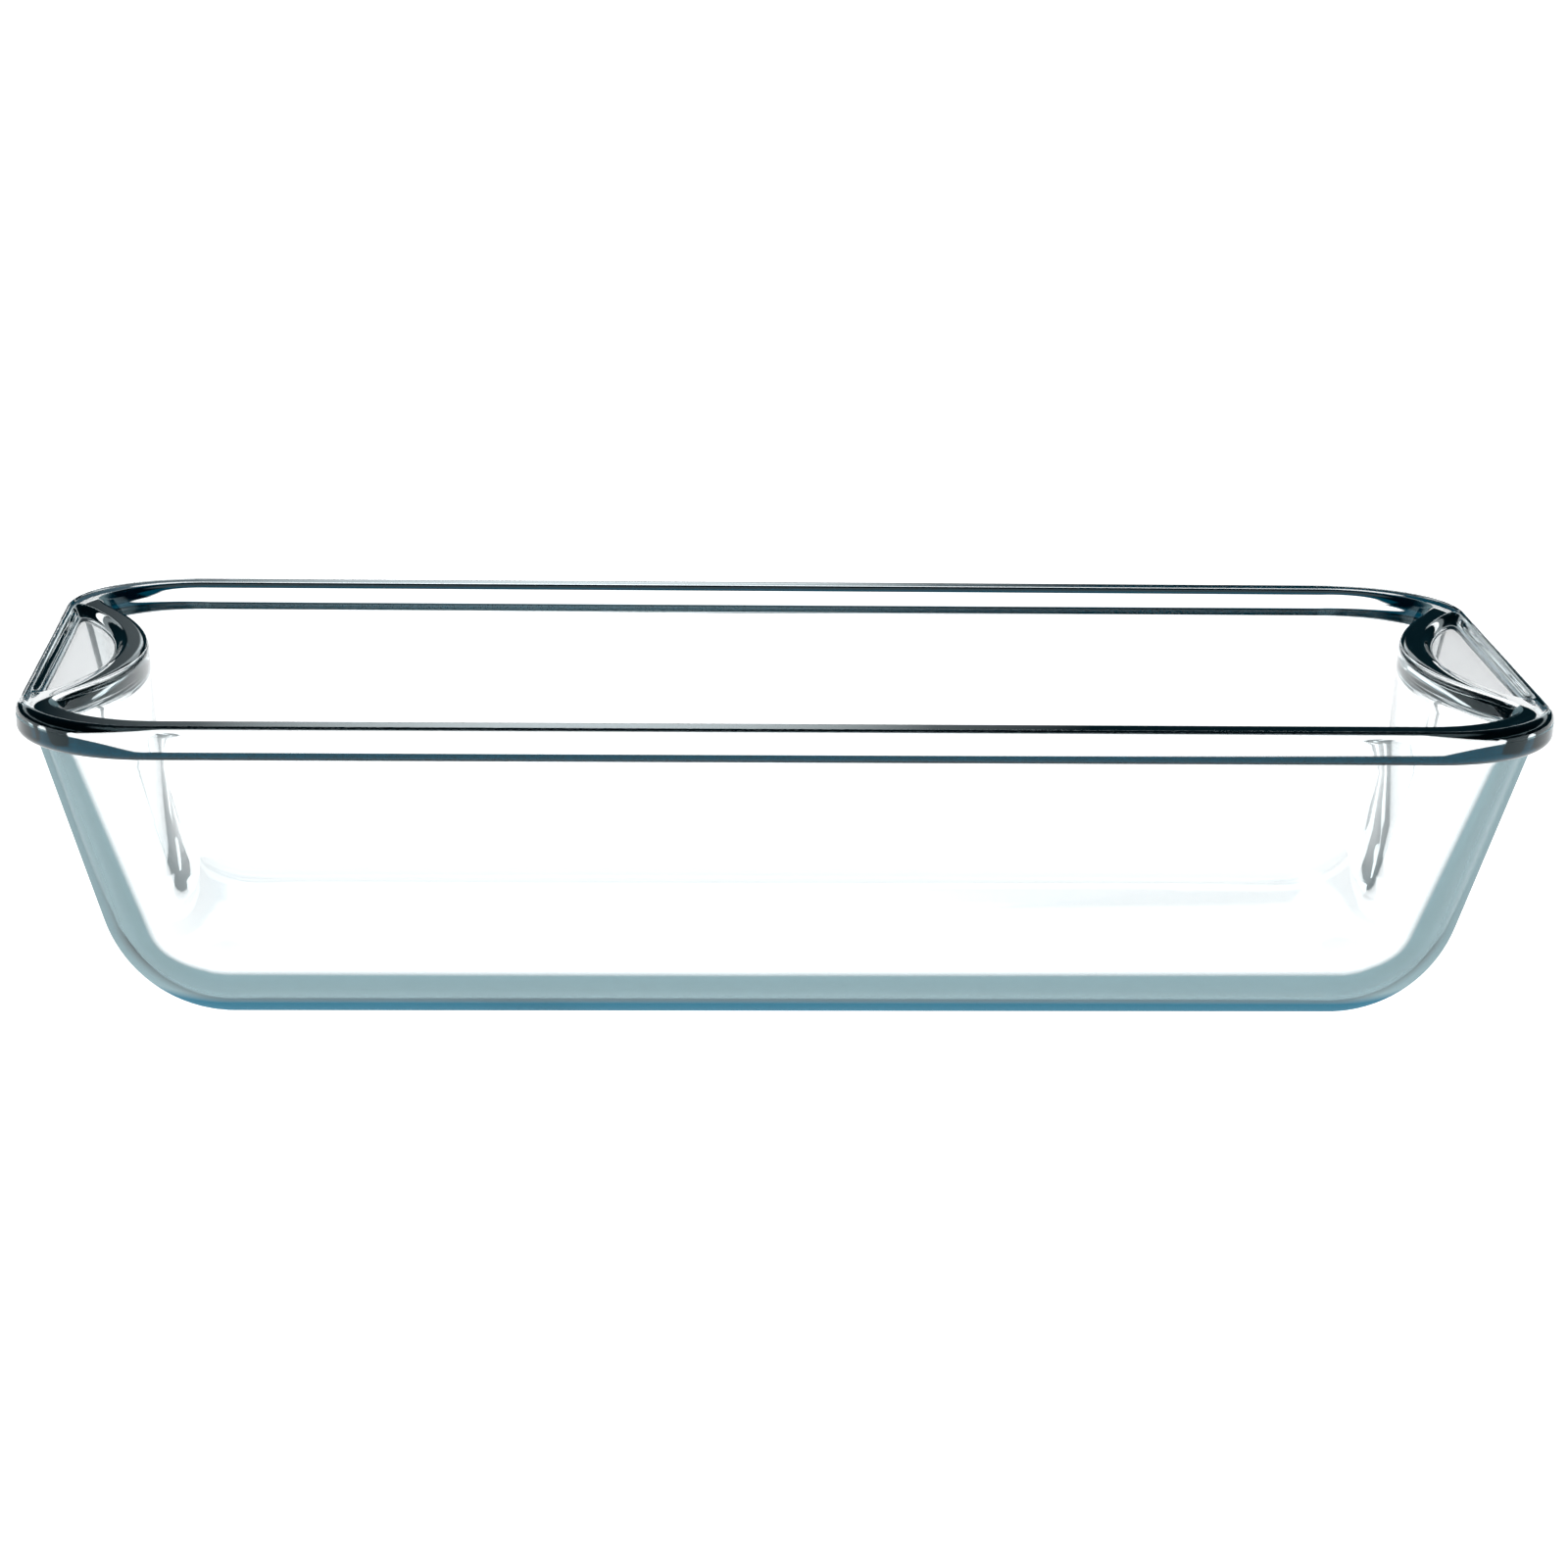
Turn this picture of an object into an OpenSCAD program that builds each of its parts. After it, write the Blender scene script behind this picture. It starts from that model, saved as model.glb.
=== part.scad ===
// Pressed-glass loaf pan with half-moon handle ledges inside its rim.
// Millimetres, +Z up. X runs along the pan, and the origin is the centre of
// the underside. The pan is one piece of glass.

/* [Rim] */
// Length over the rim
rim_length = 310; // [250:1:380]
// Width over the rim
rim_width = 140; // [122:1:180]
// Height from the table to the top of the rim
pan_height = 68; // [58:1:90]
// Plan radius of the rim's outer corners
rim_corner_r = 27.5; // [22:0.5:33]
// Depth of the rim flange, top to underside
rim_depth = 6.8; // [5.5:0.1:8.5]
// Radius that rounds the flange's outer edges
rim_edge_r = 2.1; // [1:0.1:2.6]
// How far the flange stands out past the wall below it
rim_overhang = 3; // [2.5:0.1:4.5]

/* [Walls] */
// Thickness of the walls at the top of the rim, and of the bowed walls
wall_t = 5.8; // [4.5:0.1:6.5]
// Thickness of the floor, and of the walls where they meet it
floor_t = 8.3; // [6.5:0.1:9.5]
// Lean of the two end walls from vertical
end_draft = 16.5; // [13:0.5:20]
// Lean of the two long walls from vertical
side_draft = 10; // [6:0.5:14]
// Radius that rounds the outside edges between walls and floor
ball_r = 28.5; // [22:0.5:32]

/* [Handles] */
// Radius of the bowed wall, on its cavity side at the top
bow_r = 76.5; // [66:0.5:90]
// How far the bowed wall reaches in from the rim's end
bow_reach = 22; // [19:0.5:25]
// Lean of the bowed wall from vertical
bow_draft = 4; // [3:0.5:5]
// Width of the straight bar along the rim's end
bar_w = 3.4; // [2.8:0.1:4.5]
// Depth of the half-moon dish in the ledge's top
web_top_recess = 1.5; // [0.5:0.25:2]
// Depth of the half-moon hollow in the ledge's underside
web_under_recess = 1.5; // [0.5:0.25:2]

/* [Hidden] */
$fn = 96;
ball_fn = 40;          // facets round a ball
cut_margin = 1;        // how far a cutter runs past the face it opens
wall_join = 2;         // how far the walls run up into the flange
glass_colour = [0.74, 0.86, 0.88, 0.45];

flange_bottom = pan_height - rim_depth;
bow_centre_x = rim_length / 2 + bow_r - bow_reach;
finger_r = bow_r - wall_t;

// Distance from the middle of the pan to a line of ball centres, at height z.
// half is the wall's outer face measured at the underside of the flange.
function ball_line(half, draft, z) =
    half + (z - flange_bottom) * tan(draft) - ball_r / cos(draft);
function ball_x(z) = ball_line(rim_length / 2 - rim_overhang, end_draft, z);
function ball_y(z) = ball_line(rim_width / 2 - rim_overhang, side_draft, z);
// Radius of the balls at height z that roll out a face lying foot_inset inside
// the pan's outer face at the floor, and rim_inset inside it at the rim's top
function rolled_r(foot_inset, rim_inset, z) =
    ball_r - foot_inset + (foot_inset - rim_inset) * (z - ball_r) / (pan_height - ball_r);

module mirrored_ends() {
    children();
    mirror([1, 0, 0]) children();
}

module mirrored_sides() {
    children();
    mirror([0, 1, 0]) children();
}

// Solid swept by balls on the four ball-centre lines. The outside of the pan
// and its cavity share those lines. The cavity's balls are smaller by the
// thickness of the glass, which thins evenly from the floor to the rim.
module rolled_box(foot_inset, rim_inset, top_z) {
    low = ball_r;
    high = top_z + ball_r;   // the upper balls clear the cut at top_z
    r = rolled_r(foot_inset, rim_inset, low);
    intersection() {
        hull() {
            for (z = [low, high], end = [-1, 1], side = [-1, 1])
                translate([end * ball_x(z), side * ball_y(z), z])
                    sphere(r = rolled_r(foot_inset, rim_inset, z), $fn = ball_fn);
            // flat floor, level with the lowest point of the balls
            translate([-ball_x(low), -ball_y(low), low - r])
                cube([2 * ball_x(low), 2 * ball_y(low), r]);
        }
        translate([-rim_length, -rim_width, low - r])
            cube([2 * rim_length, 2 * rim_width, top_z - low + r]);
    }
}

// Half section of the flange, from its corner centre to its rounded outer edge
module flange_section() {
    square([rim_corner_r - rim_edge_r, rim_depth]);
    translate([0, rim_edge_r]) square([rim_corner_r, rim_depth - 2 * rim_edge_r]);
    for (edge_z = [rim_edge_r, rim_depth - rim_edge_r])
        translate([rim_corner_r - rim_edge_r, edge_z]) circle(r = rim_edge_r);
}

// Flange as a full plate, before the cavity is cut through it
module flange_plate() {
    corner_x = rim_length / 2 - rim_corner_r;
    corner_y = rim_width / 2 - rim_corner_r;
    translate([0, 0, flange_bottom]) {
        translate([-corner_x, -corner_y, 0]) cube([2 * corner_x, 2 * corner_y, rim_depth]);
        mirrored_ends()
            translate([corner_x, corner_y, 0]) rotate([90, 0, 0])
                linear_extrude(2 * corner_y) flange_section();
        mirrored_sides()
            translate([-corner_x, corner_y, 0]) rotate([90, 0, 90])
                linear_extrude(2 * corner_x) flange_section();
        mirrored_ends() mirrored_sides()
            translate([corner_x, corner_y, 0]) rotate_extrude(angle = 90) flange_section();
    }
}

// Upright drum around the bow's centre, from the table up to top_z. It has
// radius r at the rim's top and widens downward by the bow's draft.
module bow_drum(r, top_z) {
    translate([bow_centre_x, 0, 0])
        cylinder(h = top_z, r1 = r + pan_height * tan(bow_draft),
                 r2 = r + (pan_height - top_z) * tan(bow_draft));
}

// Half-moon between the end bar and the bowed wall
module half_moon() {
    intersection() {
        translate([bow_centre_x, 0]) circle(r = finger_r);
        translate([0, -rim_width / 2]) square([rim_length / 2 - bar_w, rim_width]);
    }
}

// Space that the food fills, bounded at each end by the bowed wall
module cavity() {
    difference() {
        rolled_box(floor_t, wall_t, pan_height + cut_margin);
        mirrored_ends() bow_drum(bow_r, pan_height + 2 * cut_margin);
    }
}

// Scoops that the fingers use: from below the ledge, and both ledge hollows
module finger_scoops() {
    mirrored_ends() {
        bow_drum(finger_r, flange_bottom);
        translate([0, 0, flange_bottom - cut_margin])
            linear_extrude(web_under_recess + cut_margin) half_moon();
        translate([0, 0, pan_height - web_top_recess])
            linear_extrude(web_top_recess + cut_margin) half_moon();
    }
}

module glass_pan() {
    color(glass_colour)
        difference() {
            union() {
                rolled_box(0, 0, flange_bottom + wall_join);
                flange_plate();
            }
            cavity();
            finger_scoops();
        }
}

glass_pan();
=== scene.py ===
"""Looks of a pressed-glass loaf pan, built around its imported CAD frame.

The pan is one piece of glass, so its visible form is one closed mesh. Rings of
points run round the pan, one after another: up the outside from the floor, out
under the flange, over the rim, and down the cavity to the floor again. The
bowed end walls, the finger scoops and the half-moon hollows are shaped into
those rings by formulas, with rounded edges. Lengths are in metres.
"""
import math

import bmesh
import bpy
import numpy as np
from mathutils import Matrix, Vector


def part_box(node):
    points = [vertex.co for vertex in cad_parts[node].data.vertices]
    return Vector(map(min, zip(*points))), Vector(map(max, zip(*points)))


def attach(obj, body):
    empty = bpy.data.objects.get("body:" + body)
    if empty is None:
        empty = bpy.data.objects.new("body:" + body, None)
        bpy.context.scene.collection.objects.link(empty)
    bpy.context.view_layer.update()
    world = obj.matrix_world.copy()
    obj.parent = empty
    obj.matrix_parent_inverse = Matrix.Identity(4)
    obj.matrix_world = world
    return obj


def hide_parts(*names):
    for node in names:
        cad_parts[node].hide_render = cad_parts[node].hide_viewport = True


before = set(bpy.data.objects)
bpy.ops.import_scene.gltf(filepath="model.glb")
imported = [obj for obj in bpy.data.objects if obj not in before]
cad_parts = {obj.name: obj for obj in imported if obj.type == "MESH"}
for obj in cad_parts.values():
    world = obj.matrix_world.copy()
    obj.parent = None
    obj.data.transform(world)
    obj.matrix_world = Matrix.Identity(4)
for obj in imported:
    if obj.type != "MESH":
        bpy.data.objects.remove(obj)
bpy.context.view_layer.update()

MM = 0.001
NODE = "glass_pan"
LOW, HIGH = (Vector(corner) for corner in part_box(NODE))
LENGTH, WIDTH, HEIGHT = HIGH - LOW

# Sizes of the pressed shape, as the CAD part has them
RIM_CORNER_R = 27.5 * MM
RIM_DEPTH = 6.8 * MM
RIM_EDGE_R = 2.1 * MM
RIM_OVERHANG = 3.0 * MM
WALL_T = 5.8 * MM
FLOOR_T = 8.3 * MM
END_DRAFT = math.radians(16.5)
SIDE_DRAFT = math.radians(10)
BALL_R = 28.5 * MM
BOW_R = 76.5 * MM
BOW_REACH = 22.0 * MM
BOW_DRAFT = math.radians(4)
BAR_W = 3.4 * MM
HOLLOW_DEPTH = 1.5 * MM
FLANGE_Z = HEIGHT - RIM_DEPTH
BOW_X = LENGTH / 2 + BOW_R - BOW_REACH
THINNING = (FLOOR_T - WALL_T) / (HEIGHT - BALL_R)   # of the walls, per metre of height

# Roundings that the pressing leaves, finer than the CAD part carries
LIP_R = 1.8 * MM            # inner edge of the rim
FLANGE_FILLET = 0.7 * MM    # between the wall and the flange's underside
BOW_BLEND = 9.0 * MM        # between the bowed wall and the end wall
HOLLOW_EDGE = 1.1 * MM      # half the width of the half-moon's sloping edge
HOLLOW_TIP = 5.0 * MM       # rounds the half-moon's two tips

# Painted shade on thick edges, standing in for the light they hold. A slant is 0 square-on to an edge and 1
# along its surface.
EDGE_FADE = 0.12            # share of a rolled edge over which its painted shade fades out
AXIS_FADE = 0.4             # share of the floor's rounding over which a corner's axis fades out
SHADE_SLANT = 0.3            # slant, times edge depth, from which an edge gets painted shade
SHADE_BLUR = 0.04            # the painted shade sets in over this much either side of the slant above
FLANGE_EDGE_DEPTH = 6.0     # edge depth of the flange's lower edge
LIP_DEPTH = 6.0             # edge depth of the lip over the long walls
TIGHT_DEPTHS = (1.1, 1.8)   # edge depths over which an edge goes from rolled to tight
LIMB_SLANTS = (0.62, 0.76)  # slants over which a rolled edge's painted shade thins
LIMB_SHARE = 0.5            # what is left of it past those
STEEP_SLANTS = (0.50, 0.72)             # slants over which the painted diffuse edge colour sets in
PAINTED_DIFFUSE_SHARE = 0.9                     # share of the surface given the painted diffuse edge colour, past those
FOOT_SHADE_Z = (4.2 * MM, 6.6 * MM)      # heights over which the foot's painted shade gives way to the one higher up
FOOT_DIFFUSE_Z = (5.5 * MM, 8.0 * MM)   # the same for the painted diffuse edge colour

# Colours of the glass, with the painted shade and painted light of its edges
CLEAR = (1.0, 1.0, 1.0)
MIRRORED = (0.6, 0.86, 0.94)        # what it reflects square-on
BODY = (0.18, 0.66, 0.75)           # its depth
PAINTED_BAND_SHADE = (0.045, 0.092, 0.105)   # painted shade on rolled edges
PAINTED_FOOT_SHADE = (0.010, 0.34, 0.50)     # painted shade on rolled edges, near the table
PAINTED_TIGHT_SHADE = (0.0, 0.001, 0.003)    # painted shade on the rim's tight edges
PAINTED_BAND_LIGHT = (0.30, 0.42, 0.45)   # painted light on rolled edges, as a matt colour lit by the scene
PAINTED_FOOT_LIGHT = (0.006, 0.15, 0.24)  # the same, near the table

# Grid density: stations round the pan, and rings along the section
END_STEPS = 120
CORNER_STEPS = 52
SIDE_STEPS = 40
FLOOR_RINGS = 22
WALL_RINGS = 34
UNDER_RINGS = 40
EDGE_RINGS = 10
TOP_RINGS = 56
LIP_RINGS = 8


def smooth_min(a, b, blend):
    """The lesser of a and b, rounded over where they are close."""
    near = np.maximum(blend - np.abs(a - b), 0) / blend
    return np.minimum(a, b) - near ** 3 * blend / 6


def smooth_step(x):
    x = np.clip(x, 0, 1)
    return x * x * (3 - 2 * x)


def make_stations():
    """Stations round the pan, anticlockwise from the +X end.

    Each has the share of the ball-centre line's x and y that it stands at, and
    turn, which goes from 0 on the end walls to 1 on the long walls.
    """
    ends = np.linspace(-1, 1, END_STEPS, endpoint=False)
    sides = np.linspace(-1, 1, SIDE_STEPS, endpoint=False)
    turn = np.linspace(0, 1, CORNER_STEPS, endpoint=False)
    runs = []
    for sign in (1, -1):
        corner = np.ones(CORNER_STEPS) * sign
        runs += [
            (np.ones(END_STEPS) * sign, ends * sign, ends * 0),
            (corner, corner, turn),
            (-sides * sign, np.ones(SIDE_STEPS) * sign, sides * 0 + 1),
            (-corner, corner, 1 - turn),
        ]
    share_x, share_y, turn = (np.concatenate(column) for column in zip(*runs))
    return share_x, share_y, turn


SHARE_X, SHARE_Y, TURN = make_stations()
SIGN_X = np.where(SHARE_X < 0, -1.0, 1.0)
SIGN_Y = np.where(SHARE_Y < 0, -1.0, 1.0)


def corner_rise():
    """The way the ball-centre lines rise, with z as 1, one for each station."""
    return np.stack([SIGN_X * math.tan(END_DRAFT), SIGN_Y * math.tan(SIDE_DRAFT), 0 * SIGN_X + 1], 1)


def wall_normals(taper):
    """Outward unit normals of the leaning walls, turned round each corner.

    The walls are rolled by balls that grow by taper for each metre they rise.
    """
    end, side = (draft + math.asin(taper * math.cos(draft)) for draft in (END_DRAFT, SIDE_DRAFT))
    end = np.stack([SIGN_X * math.cos(end), 0 * SIGN_X, 0 * SIGN_X - math.sin(end)], 1)
    side = np.stack([0 * SIGN_Y, SIGN_Y * math.cos(side), 0 * SIGN_Y - math.sin(side)], 1)
    rise = corner_rise()
    rise_square = (rise ** 2).sum(1, keepdims=True)
    base = -taper * rise / rise_square
    reach = np.sqrt(1 - taper ** 2 / rise_square)
    return base + reach * turned((end - base) / reach, (side - base) / reach, TURN[:, None])


def turned(start, stop, share):
    """Unit vectors between start and stop, a share of the angle along."""
    angle = np.arccos(np.clip((start * stop).sum(1, keepdims=True), -1, 1))
    return (np.sin((1 - share) * angle) * start + np.sin(share * angle) * stop) / np.sin(angle)


def ball_centres(z):
    """Points of the ball-centre lines at heights z, one for each station."""
    def line(half, draft):
        return half - RIM_OVERHANG + (z - FLANGE_Z) * math.tan(draft) - BALL_R / math.cos(draft)
    return np.stack([SHARE_X * line(LENGTH / 2, END_DRAFT), SHARE_Y * line(WIDTH / 2, SIDE_DRAFT), z], 1)


def bowed(ring, radius):
    """The ring with both its ends drawn in to the bowed wall of that radius."""
    x, y, z = ring.T
    r = radius + (HEIGHT - z) * math.tan(BOW_DRAFT)
    drum = BOW_X - np.sqrt(r ** 2 - y ** 2)
    return np.stack([np.sign(x) * smooth_min(np.abs(x), drum, BOW_BLEND), y, z], 1)


class Face:
    """The outside face of the walls and floor, or the cavity's.

    foot_r is the radius of the balls that roll it out at the floor, and taper
    is how much they grow for each metre they rise.
    """
    def __init__(self, foot_r, taper):
        self.foot_r, self.taper = foot_r, taper
        self.normals = wall_normals(taper)

    def wall_ring(self, share, top_z):
        """Ring on the leaning walls: share is 0 at the floor's rounding, 1 at height top_z."""
        lean = self.normals[:, 2]
        top = (top_z - (self.foot_r - self.taper * BALL_R) * lean) / (1 + self.taper * lean)
        z = BALL_R + share * (top - BALL_R)
        radius = self.foot_r + self.taper * (z - BALL_R)
        return ball_centres(z) + radius[:, None] * self.normals

    def floor_ring(self, share):
        """Ring on the floor's rounding: share is 0 at the flat floor, 1 at the wall."""
        down = np.tile([0.0, 0.0, -1.0], (len(TURN), 1))
        low = np.full(len(TURN), BALL_R)
        return ball_centres(low) + self.foot_r * turned(down, self.normals, share)


OUTSIDE = Face(BALL_R, 0)
CAVITY = Face(BALL_R - FLOOR_T, THINNING)


def rim_ring(inset, z):
    """Ring on the flange's outline, set in from it."""
    angle = TURN * math.pi / 2
    r = RIM_CORNER_R
    x = SHARE_X * (LENGTH / 2 - r) + SIGN_X * (r - inset) * np.cos(angle)
    y = SHARE_Y * (WIDTH / 2 - r) + SIGN_Y * (r - inset) * np.sin(angle)
    return np.stack([x, y, np.full(len(x), z)], 1)


def flat_normals(ring):
    """Unit vectors in plan, square to the ring and pointing away from the pan's middle."""
    along = np.roll(ring, -1, 0) - np.roll(ring, 1, 0)
    out = np.stack([along[:, 1], -along[:, 0], 0 * along[:, 0]], 1)
    return out / np.linalg.norm(out, axis=1, keepdims=True)


def hollow_share(points):
    """1 inside the half-moon of either ledge, 0 outside, sloping across its edge."""
    x, y = np.abs(points[:, 0]), points[:, 1]
    from_bow = np.hypot(x - BOW_X, y) - (BOW_R - WALL_T)
    from_bar = x - (LENGTH / 2 - BAR_W)
    outside = -smooth_min(-from_bow, -from_bar, HOLLOW_TIP)
    return smooth_step(0.5 - outside / (2 * HOLLOW_EDGE))


def outside_rings():
    """From the flat underside up the wall to the flange."""
    top_z = FLANGE_Z - FLANGE_FILLET
    rings = [OUTSIDE.floor_ring(s) for s in np.linspace(0, 1, FLOOR_RINGS, endpoint=False)]
    rings += [OUTSIDE.wall_ring(s, top_z) for s in np.linspace(0, 1, WALL_RINGS)]
    return [bowed(ring, BOW_R - WALL_T) for ring in rings]


def flange_rings(wall_top):
    """Across the flange's underside, round its outer edge and onto its top."""
    edge = rim_ring(RIM_EDGE_R, FLANGE_Z)
    rings = []
    for share in np.linspace(0, 1, UNDER_RINGS)[1:]:
        ring = wall_top + (edge - wall_top) * share
        gap = np.linalg.norm((ring - wall_top)[:, :2], axis=1)
        corner = np.clip(FLANGE_FILLET - gap, 0, None)
        ring[:, 2] = FLANGE_Z - FLANGE_FILLET + np.sqrt(FLANGE_FILLET ** 2 - corner ** 2)
        ring[:, 2] += HOLLOW_DEPTH * hollow_share(ring)
        rings.append(ring)
    for centre_z, first in ((FLANGE_Z + RIM_EDGE_R, -90), (HEIGHT - RIM_EDGE_R, 0)):
        for degrees in np.linspace(first, first + 90, EDGE_RINGS):
            a = math.radians(degrees)
            rings.append(rim_ring(RIM_EDGE_R * (1 - math.cos(a)), centre_z + RIM_EDGE_R * math.sin(a)))
    return rings


def cavity_ring(share, top_z):
    return bowed(CAVITY.wall_ring(share, top_z), BOW_R)


def lip_rings():
    """Round the rim's inner edge, from its flat top down to the cavity wall."""
    below = cavity_ring(1, HEIGHT - 2 * LIP_R)
    wall = cavity_ring(1, HEIGHT - LIP_R)
    out = flat_normals(wall)
    lean = np.arctan(((wall - below) * out).sum(1) / LIP_R)[:, None]
    foot = cavity_ring(1, HEIGHT - LIP_R * (1 - math.sin(SIDE_DRAFT + math.atan(THINNING))))
    up = np.array([0.0, 0.0, 1.0])
    centre = foot + LIP_R * (out * np.cos(lean) - up * np.sin(lean))
    centre[:, 2] = HEIGHT - LIP_R
    rings = []
    for share in np.linspace(1, 0, LIP_RINGS):
        angle = lean + share * (math.pi / 2 - lean)
        rings.append(centre + LIP_R * (up * np.sin(angle) - out * np.cos(angle)))
    return rings


def top_rings(outer, inner):
    """Across the rim's flat top and both ledges, between those two rings."""
    rings = []
    for share in np.linspace(0, 1, TOP_RINGS)[1:-1]:
        ring = outer + (inner - outer) * share
        ring[:, 2] -= HOLLOW_DEPTH * hollow_share(ring)
        rings.append(ring)
    return rings


def inside_rings():
    """Down the cavity wall and round to the flat cavity floor."""
    top_z = HEIGHT - 2 * LIP_R
    rings = [cavity_ring(s, top_z) for s in np.linspace(1, 0, WALL_RINGS)]
    return rings + [bowed(CAVITY.floor_ring(s), BOW_R) for s in np.linspace(1, 0, FLOOR_RINGS)[1:]]


def painted_shade_depth(ring_counts):
    """How deep a slanting look goes into the glass at each point, ring by ring.

    These values place the painted edge shade. It stands in for the light that a
    rolled edge traps, the light that passes closer to its outside than the glass
    is thick. Edge depth times that slant is where the painted shade sets in, so it
    is about 1 at the floor and less up the walls, where the glass is thinner. It is
    0 on the flats, and more on the two tight edges of the rim: the flange's lower
    one and the lip over the long walls. ring_counts gives the rings of the outside, the flange and the rim's
    top, in that order.
    """
    outside, flange, top = ring_counts
    def fade(share):
        return smooth_step(share / EDGE_FADE) * smooth_step((1 - share) / EDGE_FADE)
    glass = FLOOR_T - THINNING * np.linspace(0, FLANGE_Z - BALL_R, WALL_RINGS)
    painted_shade = SHADE_SLANT / (1 - np.sqrt(1 - (1 - glass / BALL_R) ** 2))
    corner = np.concatenate([np.full(FLOOR_RINGS, painted_shade[0]), painted_shade])
    foot = np.concatenate([fade(np.linspace(0, 1, FLOOR_RINGS, endpoint=False)), np.zeros(WALL_RINGS)])
    # Where the painted edge shade goes, ring by ring
    level = np.zeros((outside + flange + top + LIP_RINGS, len(TURN)))
    level[:outside] = np.maximum(foot[:, None], corner[:, None] * fade(TURN)[None, :])
    lower_edge = outside + UNDER_RINGS - 1
    level[lower_edge:lower_edge + EDGE_RINGS] = FLANGE_EDGE_DEPTH
    level[-LIP_RINGS:] = LIP_DEPTH * smooth_step(TURN)
    return level.ravel()


def edge_axis(outside):
    """The line each corner is rolled along, over the rings of the outside.

    Its length is 1 on the walls and falls away down the floor's rounding,
    which is rolled in both directions at a corner.
    """
    line = corner_rise()
    line /= np.linalg.norm(line, axis=1, keepdims=True)
    length = np.ones(outside)
    length[:FLOOR_RINGS] = smooth_step(1 - (1 - np.linspace(0, 1, FLOOR_RINGS)) / AXIS_FADE)
    return (length[:, None, None] * line).reshape(-1, 3)


def build_pan():
    """The closed glass mesh."""
    outside = outside_rings()
    flange = flange_rings(outside[-1])
    lip = lip_rings()
    top = top_rings(flange[-1], lip[0])
    rings = outside + flange + top + lip + inside_rings()
    count = len(TURN)
    points = np.concatenate(rings)
    step = np.arange(count)
    after = np.roll(step, -1)
    faces = [(base + step, base + after, base + count + after, base + count + step)
             for base in range(0, (len(rings) - 1) * count, count)]
    quads = np.concatenate([np.stack(face, 1) for face in faces])
    mesh = bpy.data.meshes.new("glass_pan_body")
    last = (len(rings) - 1) * count
    caps = [tuple(step[::-1]), tuple(last + step)]
    mesh.from_pydata(points.tolist(), [], quads.tolist() + caps)
    store(mesh, "painted_shade_depth", painted_shade_depth((len(outside), len(flange), len(top))))
    store(mesh, "edge_axis", edge_axis(len(outside)))
    pan = bpy.data.objects.new("glass_pan_body", mesh)
    bpy.context.scene.collection.objects.link(pan)
    clean_up(mesh)
    return pan


def store(mesh, name, values):
    """Keeps the values at the mesh's points. Points past the last value get 0."""
    kind, field = ("FLOAT", "value") if values.ndim == 1 else ("FLOAT_VECTOR", "vector")
    full = np.zeros((len(mesh.vertices), *values.shape[1:]))
    full[:len(values)] = values
    mesh.attributes.new(name, kind, "POINT").data.foreach_set(field, full.ravel())


def clean_up(mesh):
    """Joins the points that meet at the floor's corners, and shades it smooth."""
    bm = bmesh.new()
    bm.from_mesh(mesh)
    bmesh.ops.remove_doubles(bm, verts=bm.verts, dist=0.01 * MM)
    bmesh.ops.dissolve_degenerate(bm, edges=bm.edges, dist=0.005 * MM)
    bmesh.ops.recalc_face_normals(bm, faces=bm.faces)
    for face in bm.faces:
        face.smooth = True
    bm.to_mesh(mesh)
    bm.free()


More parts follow.
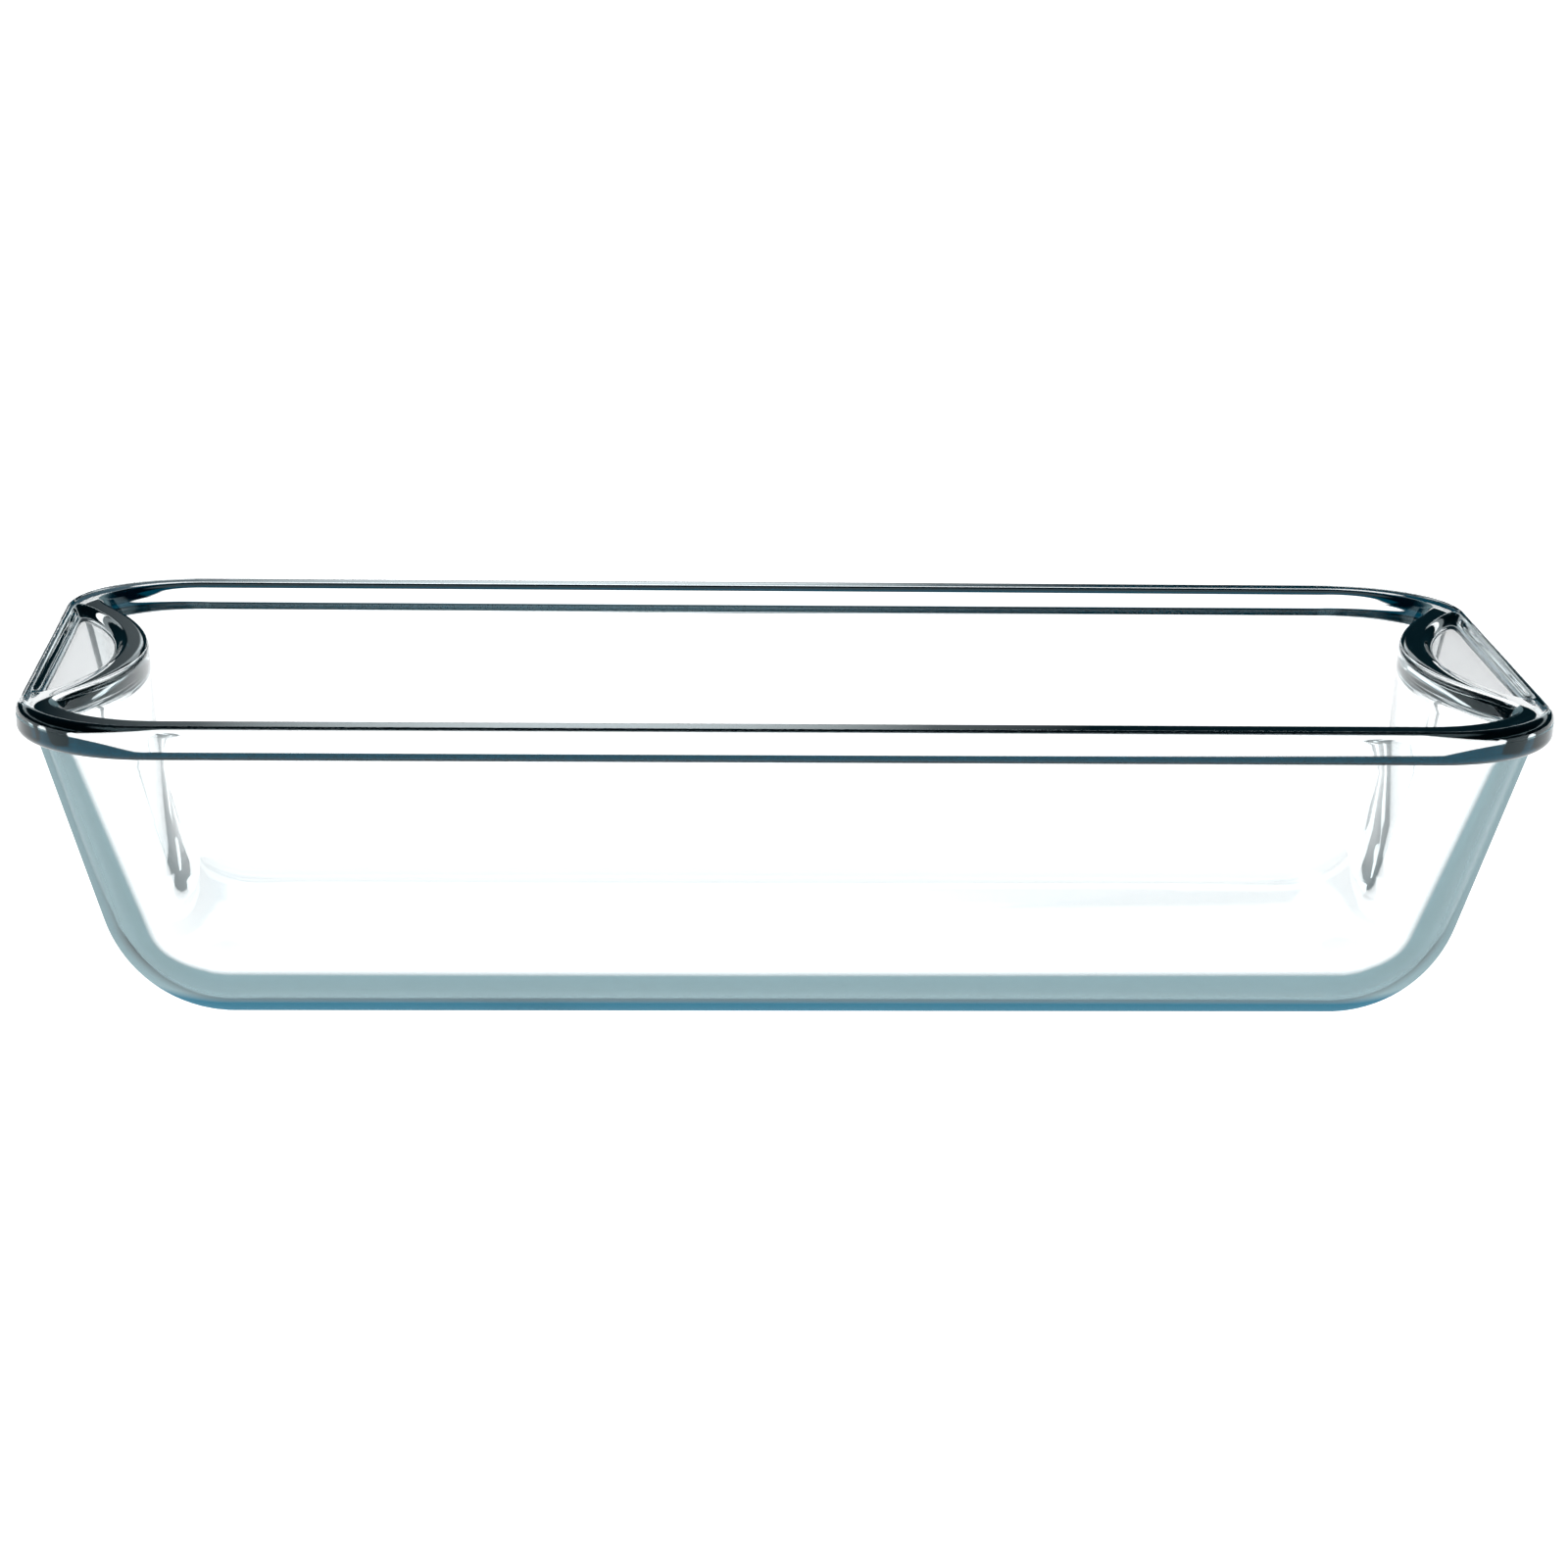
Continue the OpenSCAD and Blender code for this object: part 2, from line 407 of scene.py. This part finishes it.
class Graph:
    """Short ways to add nodes to a shader's node tree."""
    def __init__(self, tree):
        self.nodes, self.links = tree.nodes, tree.links

    def feed(self, socket, value):
        """Links the socket to value if that is another socket, or else sets it."""
        if isinstance(value, bpy.types.NodeSocket):
            self.links.new(value, socket)
        else:
            socket.default_value = (*value, 1) if isinstance(value, tuple) else value

    def compute(self, operation, a, b=None):
        node = self.nodes.new("ShaderNodeMath")
        node.operation = operation
        for socket, value in zip(node.inputs, (a, b)):
            if value is not None:
                self.feed(socket, value)
        return node.outputs["Value"]

    def measure(self, operation, vector):
        node = self.nodes.new("ShaderNodeVectorMath")
        node.operation = operation
        self.links.new(vector, node.inputs[0])
        return node.outputs["Value" if operation == "LENGTH" else "Vector"]

    def remap(self, value, span, to=(0, 1), kind="LINEAR"):
        node = self.nodes.new("ShaderNodeMapRange")
        node.interpolation_type = kind
        for name, number in zip(("From Min", "From Max", "To Min", "To Max"), (*span, *to)):
            node.inputs[name].default_value = number
        self.links.new(value, node.inputs["Value"])
        return node.outputs["Result"]

    def blend(self, share, a, b):
        """Colour a where share is 0, and b where it is 1."""
        node = self.nodes.new("ShaderNodeMix")
        node.data_type = "RGBA"
        for name, value in (("Factor", share), ("A", a), ("B", b)):
            self.feed(node.inputs[name], value)
        return node.outputs["Result"]

    def ramp(self, value, *stops):
        """Colour that runs through the stops, each a position and its colour."""
        node = self.nodes.new("ShaderNodeValToRGB")
        elements = node.color_ramp.elements
        for element, (position, colour) in zip(elements, stops[:2]):
            element.position, element.color = position, (*colour, 1)
        for position, colour in stops[2:]:
            elements.new(position).color = (*colour, 1)
        self.links.new(value, node.inputs["Fac"])
        return node.outputs["Color"]

    def noise(self, place, scale, detail):
        node = self.nodes.new("ShaderNodeTexNoise")
        node.inputs["Scale"].default_value = scale
        node.inputs["Detail"].default_value = detail
        self.links.new(place, node.inputs["Vector"])
        return node.outputs["Fac"]

    def stored(self, name, output):
        """What store() kept under that name."""
        node = self.nodes.new("ShaderNodeAttribute")
        node.attribute_name = name
        return node.outputs[output]

    def squareness(self, direction=None):
        """1 looking straight along the direction, or the surface normal, and 0 across it."""
        node = self.nodes.new("ShaderNodeLayerWeight")
        node.inputs["Blend"].default_value = 0.5
        if direction is not None:
            self.links.new(direction, node.inputs["Normal"])
        return self.compute("SUBTRACT", 1, node.outputs["Facing"])


def edge_slant(graph):
    """How slanted the look is across an edge, leaving out its slant along the edge's axis."""
    axis = graph.stored("edge_axis", "Vector")
    along = graph.squareness(graph.measure("NORMALIZE", axis))
    along = graph.compute("MULTIPLY", along, graph.measure("LENGTH", axis))
    across = graph.compute("SQRT", graph.compute("SUBTRACT", 1, graph.compute("MULTIPLY", along, along)))
    least = 0.05   # keeps the division sound for a look straight along the axis
    return graph.compute("SUBTRACT", 1, graph.compute(
        "DIVIDE", graph.squareness(), graph.compute("MAXIMUM", across, least)))


def glass_material():
    """Clear soda glass: faint teal in its depth, and the slow waves of a pressed surface.

    Thick edges also get painted shade: a dark teal colour on the glass where an
    edge is looked at on a slant, standing in for the light that circles inside
    them. Where the slant is steepest, and along the foot, part of the surface is a
    matt layer in a painted blue-teal edge colour. Only looks from outside the glass see that matt layer.
    """
    mat = bpy.data.materials.new("clear_pressed_glass")
    mat.use_nodes = True
    nodes, links = mat.node_tree.nodes, mat.node_tree.links
    nodes.clear()
    graph = Graph(mat.node_tree)
    place = nodes.new("ShaderNodeTexCoord").outputs["Object"]
    split = nodes.new("ShaderNodeSeparateXYZ")
    links.new(place, split.inputs["Vector"])
    height = split.outputs["Z"]

    # Painted edge shade: a dark colour on the glass where an edge is seen on a slant
    depth = graph.stored("painted_shade_depth", "Fac")
    slant = edge_slant(graph)
    painted_shade = graph.remap(graph.compute("MULTIPLY", slant, depth),
                          (SHADE_SLANT - SHADE_BLUR, SHADE_SLANT + SHADE_BLUR), kind="SMOOTHSTEP")
    tight = graph.remap(depth, TIGHT_DEPTHS)
    limb = graph.remap(slant, LIMB_SLANTS, (1, LIMB_SHARE))
    edge_shade_amount = graph.compute("MULTIPLY", painted_shade, graph.compute("MAXIMUM", limb, tight))
    # Painted shade colours: blue-teal near the foot, dark teal higher up, near black on the rim's tight edges
    band = graph.blend(graph.remap(height, FOOT_SHADE_Z), PAINTED_FOOT_SHADE, PAINTED_BAND_SHADE)
    edge_shade_colour = graph.blend(edge_shade_amount, CLEAR, graph.blend(tight, band, PAINTED_TIGHT_SHADE))

    glass = nodes.new("ShaderNodeBsdfPrincipled")
    glass.inputs["Transmission Weight"].default_value = 1
    glass.inputs["IOR"].default_value = 1.47
    glass.inputs["Specular Tint"].default_value = (*MIRRORED, 1)
    links.new(edge_shade_colour, glass.inputs["Base Color"])
    waves = nodes.new("ShaderNodeBump")
    waves.inputs["Strength"].default_value = 0.035
    waves.inputs["Distance"].default_value = 1 * MM
    links.new(graph.noise(place, scale=22, detail=1), waves.inputs["Height"])
    links.new(waves.outputs["Normal"], glass.inputs["Normal"])
    haze = graph.remap(graph.noise(place, scale=60, detail=4), (0, 1), (0, 0.02))
    links.new(haze, glass.inputs["Roughness"])

    # Painted light: a matt layer in a painted edge colour, where the slant is steepest and along the foot
    foot = graph.remap(height, FOOT_DIFFUSE_Z, (PAINTED_DIFFUSE_SHARE, 0))
    steep_diffuse_share = graph.compute("MULTIPLY", graph.remap(slant, STEEP_SLANTS, (0, PAINTED_DIFFUSE_SHARE)),
                          graph.compute("SUBTRACT", 1, tight))
    inside = nodes.new("ShaderNodeNewGeometry").outputs["Backfacing"]
    share = graph.compute("MULTIPLY", painted_shade, graph.compute("SUBTRACT", 1, inside))
    share = graph.compute("MULTIPLY", share, graph.compute("MAXIMUM", foot, steep_diffuse_share))
    painted_light_layer = nodes.new("ShaderNodeBsdfDiffuse")
    links.new(graph.blend(foot, PAINTED_BAND_LIGHT, PAINTED_FOOT_LIGHT), painted_light_layer.inputs["Color"])

    surface = nodes.new("ShaderNodeMixShader")
    for socket, value in zip(surface.inputs, (share, glass.outputs["BSDF"], painted_light_layer.outputs["BSDF"])):
        links.new(value, socket)
    body = nodes.new("ShaderNodeVolumeAbsorption")
    body.inputs["Color"].default_value = (*BODY, 1)
    body.inputs["Density"].default_value = 4
    output = nodes.new("ShaderNodeOutputMaterial")
    links.new(surface.outputs["Shader"], output.inputs["Surface"])
    links.new(body.outputs["Volume"], output.inputs["Volume"])
    return mat


def floor_material():
    """Matt white, lit from below as a light table is."""
    mat = bpy.data.materials.new("pale_floor")
    mat.use_nodes = True
    shader = mat.node_tree.nodes["Principled BSDF"]
    shader.inputs["Base Color"].default_value = (0.5, 0.5, 0.5, 1)
    shader.inputs["Roughness"].default_value = 0.9
    shader.inputs["Specular IOR Level"].default_value = 0
    shader.inputs["Emission Color"].default_value = (1, 1, 1, 1)
    shader.inputs["Emission Strength"].default_value = 1.16
    return mat


def build_floor():
    """Plain pale floor, wide enough to fill the view behind the pan."""
    bpy.ops.mesh.primitive_plane_add(size=60, location=(0, 0, LOW.z - 0.05 * MM))
    floor = bpy.context.object
    floor.name = "floor"
    floor.data.materials.append(floor_material())


def build_world():
    """Dark studio surround, with soft light from a low strip all round.

    The strip stands where the pan's floor mirrors it, and a second light hangs
    overhead. A panel under the strip on each of the four sides is what the
    middle of the flat rim mirrors. The ramps' positions are sines of the
    height above the horizon, and square_on is 1 where a side is faced.
    """
    world = bpy.data.worlds.new("studio")
    world.use_nodes = True
    bpy.context.scene.world = world
    nodes, links = world.node_tree.nodes, world.node_tree.links
    graph = Graph(world.node_tree)
    off, half, on = (0, 0, 0), (0.6, 0.6, 0.6), (1, 1, 1)
    split = nodes.new("ShaderNodeSeparateXYZ")
    links.new(nodes.new("ShaderNodeTexCoord").outputs["Generated"], split.inputs["Vector"])
    x, y = (graph.compute("ABSOLUTE", split.outputs[axis]) for axis in "XY")
    z = split.outputs["Z"]
    level = graph.compute("SQRT", graph.compute(
        "ADD", graph.compute("MULTIPLY", x, x), graph.compute("MULTIPLY", y, y)))
    facing = graph.compute("DIVIDE", graph.compute("MAXIMUM", x, y), level)
    square_on = graph.ramp(facing, (0.9958, off), (0.9976, on))
    strip = graph.ramp(z, (0.250, off), (0.270, half), (0.335, half), (0.365, off), (0.86, off), (0.92, half))
    panel = graph.ramp(z, (0.185, off), (0.205, on), (0.250, on), (0.290, half), (0.365, off))
    lit = graph.compute("MAXIMUM", strip, graph.compute("MULTIPLY", panel, square_on))
    background = nodes["Background"]
    background.inputs["Strength"].default_value = 2.3
    links.new(graph.ramp(lit, (0, (0.003, 0.014, 0.020)), (1, (0.88, 0.97, 1))), background.inputs["Color"])


def build_camera():
    """Camera at the photograph's viewing angle, a little left of square-on."""
    yaw, pitch, roll = (math.radians(a) for a in (2.983, 14.867, 0.99))
    reach = 0.921
    drift_right, drift_up = 1.3 * MM, 8.5 * MM
    aim = Vector((0, 0, 30 * MM))
    forward = Vector((math.sin(yaw) * math.cos(pitch), math.cos(yaw) * math.cos(pitch), -math.sin(pitch)))
    right = Vector((math.cos(yaw), -math.sin(yaw), 0))
    up = right.cross(forward)
    tilted_right = math.cos(roll) * right + math.sin(roll) * up
    tilted_up = math.cos(roll) * up - math.sin(roll) * right
    camera = bpy.data.objects.new("camera", bpy.data.cameras.new("camera"))
    bpy.context.scene.collection.objects.link(camera)
    camera.data.sensor_width = 36
    camera.data.lens = 99.09
    place = aim - reach * forward + drift_right * tilted_right + drift_up * tilted_up
    axes = Matrix((tilted_right, tilted_up, -forward)).transposed()
    camera.matrix_world = Matrix.Translation(place) @ axes.to_4x4()
    bpy.context.scene.camera = camera


build_camera()
build_world()
build_floor()
pan = build_pan()
pan.data.materials.append(glass_material())
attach(pan, "root")
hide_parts(NODE)
bpy.context.scene.view_settings.view_transform = "Standard"
